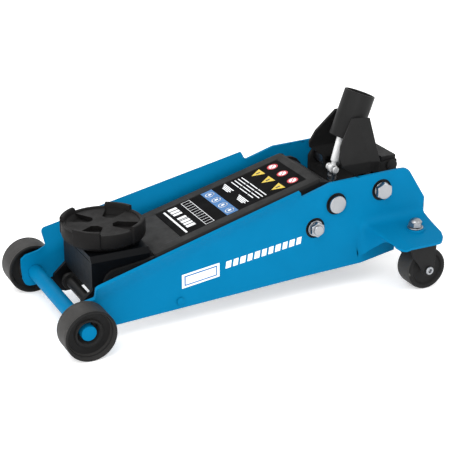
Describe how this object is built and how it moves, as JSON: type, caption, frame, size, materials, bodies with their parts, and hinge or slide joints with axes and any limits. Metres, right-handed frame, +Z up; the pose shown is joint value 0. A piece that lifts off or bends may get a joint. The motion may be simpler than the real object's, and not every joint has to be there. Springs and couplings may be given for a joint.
{
  "type": "trolley jack",
  "caption": "Hydraulic trolley jack: pressed blue frame on wheels and swivel casters, lifting arm with a self-levelling saddle, pumped by a tilting handle socket.",
  "frame": {"origin": "on the floor, under the middle of the footprint", "axes": "+X to the saddle end, +Y to the left, +Z up out of the saddle"},
  "size_m": [0.6317, 0.356, 0.2952],
  "materials": {
    "blue_paint": "bright blue gloss paint on pressed steel",
    "black_paint": "black satin paint",
    "steel": "oiled machined steel",
    "zinc": "bright zinc plate",
    "wheel_plastic": "dark grey moulded nylon",
    "cast_saddle": "black painted casting, slightly rough"
  },
  "bodies": {
    "frame": {"side_plate_left": "blue_paint", "side_plate_right": "blue_paint", "front_axle": "blue_paint", "front_tie_rod": "blue_paint", "rear_cross_plate": "black_paint", "wheel_spacer_left": "steel", "wheel_spacer_right": "steel", "caster_nut_left": "zinc", "caster_nut_right": "zinc", "arm_pivot_shaft": "zinc", "pivot_spacer_left": "steel", "pivot_spacer_right": "steel", "link_bolt_left": "zinc", "link_bolt_right": "zinc", "link_nut_left": "zinc", "link_nut_right": "zinc", "hydraulic_block": "black_paint", "ram_cylinder": "steel", "oil_reservoir": "black_paint", "gland_nut": "steel", "return_spring_left": "steel", "return_spring_right": "steel", "unit_screw_left": "zinc", "unit_screw_right": "zinc", "pump_spring": "steel", "yoke_bolt_left": "zinc", "yoke_bolt_right": "zinc", "yoke_spacer_left": "steel", "yoke_spacer_right": "steel", "release_valve": "zinc"},
    "wheel_left": {"front_wheel_left": "wheel_plastic"},
    "wheel_right": {"front_wheel_right": "wheel_plastic"},
    "caster_left": {"caster_fork_left": "black_paint", "caster_axle_left": "zinc"},
    "caster_right": {"caster_fork_right": "black_paint", "caster_axle_right": "zinc"},
    "roller_left": {"caster_wheel_left": "wheel_plastic"},
    "roller_right": {"caster_wheel_right": "wheel_plastic"},
    "lift_arm": {"arm_plate_left": "black_paint", "arm_plate_right": "black_paint", "arm_cover": "black_paint", "arm_lever": "black_paint", "saddle_pin": "steel"},
    "bracket": {"saddle_bracket": "black_paint", "saddle_retaining_ring": "steel", "link_cross_rod": "black_paint"},
    "saddle": {"saddle": "cast_saddle"},
    "links": {"levelling_link_left": "black_paint", "levelling_link_right": "black_paint"},
    "ram": {"ram": "steel", "crosshead_pin": "steel"},
    "yoke": {"handle_socket": "black_paint", "yoke_plate_left": "black_paint", "yoke_plate_right": "black_paint", "yoke_bar": "steel", "yoke_crosspiece": "black_paint", "pump_roller": "steel"},
    "plunger": {"pump_plunger": "steel"},
    "release": {"release_rod": "zinc"}
  },
  "joints": [
    {"name": "front_wheel_left_spin", "type": "hinge", "parent": "frame", "child": "wheel_left", "pos_m": [0.277, 0.128, 0.039], "axis": [0, 1, 0], "continuous": true},
    {"name": "front_wheel_right_spin", "type": "hinge", "parent": "frame", "child": "wheel_right", "pos_m": [0.277, -0.128, 0.039], "axis": [0, 1, 0], "continuous": true},
    {"name": "caster_left_swivel", "type": "hinge", "parent": "frame", "child": "caster_left", "pos_m": [-0.267, 0.133, 0.09], "axis": [0, 0, 1], "continuous": true},
    {"name": "caster_right_swivel", "type": "hinge", "parent": "frame", "child": "caster_right", "pos_m": [-0.267, -0.133, 0.09], "axis": [0, 0, 1], "continuous": true},
    {"name": "caster_left_spin", "type": "hinge", "parent": "caster_left", "child": "roller_left", "pos_m": [-0.282, 0.133, 0.034], "axis": [0, 1, 0], "continuous": true},
    {"name": "caster_right_spin", "type": "hinge", "parent": "caster_right", "child": "roller_right", "pos_m": [-0.282, -0.133, 0.034], "axis": [0, 1, 0], "continuous": true},
    {"name": "lift_arm_raise", "type": "hinge", "parent": "frame", "child": "lift_arm", "pos_m": [-0.146, 0, 0.148], "axis": [0, -1, 0], "range_deg": [0, 55]},
    {"name": "bracket_level", "type": "hinge", "parent": "lift_arm", "child": "bracket", "pos_m": [0.204, 0, 0.073], "axis": [0, -1, 0], "range_deg": [-55, 0]},
    {"name": "saddle_spin", "type": "hinge", "parent": "bracket", "child": "saddle", "pos_m": [0.2, 0, 0.12], "axis": [0, 0, 1], "continuous": true},
    {"name": "links_swing", "type": "hinge", "parent": "frame", "child": "links", "pos_m": [-0.109, 0, 0.115], "axis": [0, -1, 0], "range_deg": [0, 55]},
    {"name": "ram_stroke", "type": "slide", "parent": "frame", "child": "ram", "axis": [1, 0, 0], "range_m": [0, 0.0577]},
    {"name": "yoke_pump", "type": "hinge", "parent": "frame", "child": "yoke", "pos_m": [-0.226, 0, 0.158], "axis": [0, -1, 0], "range_deg": [-15, 38]},
    {"name": "plunger_stroke", "type": "slide", "parent": "frame", "child": "plunger", "axis": [0, 0, 1], "range_m": [-0.0177, 0.0071], "deforming": ["pump_spring"]},
    {"name": "release_tilt", "type": "hinge", "parent": "frame", "child": "release", "pos_m": [-0.193, 0, 0.167], "axis": [0, -1, 0], "range_deg": [-12.7, 32]}
  ],
  "couplings": [
    {"joint": "bracket_level", "follows": "lift_arm_raise", "ratio": -1},
    {"joint": "links_swing", "follows": "lift_arm_raise", "ratio": 1},
    {"joint": "ram_stroke", "follows": "lift_arm_raise", "m_per_rad": 0.06},
    {"joint": "plunger_stroke", "follows": "yoke_pump", "m_per_rad": -0.0265},
    {"joint": "release_tilt", "follows": "yoke_pump", "ratio": 0.84}
  ]
}
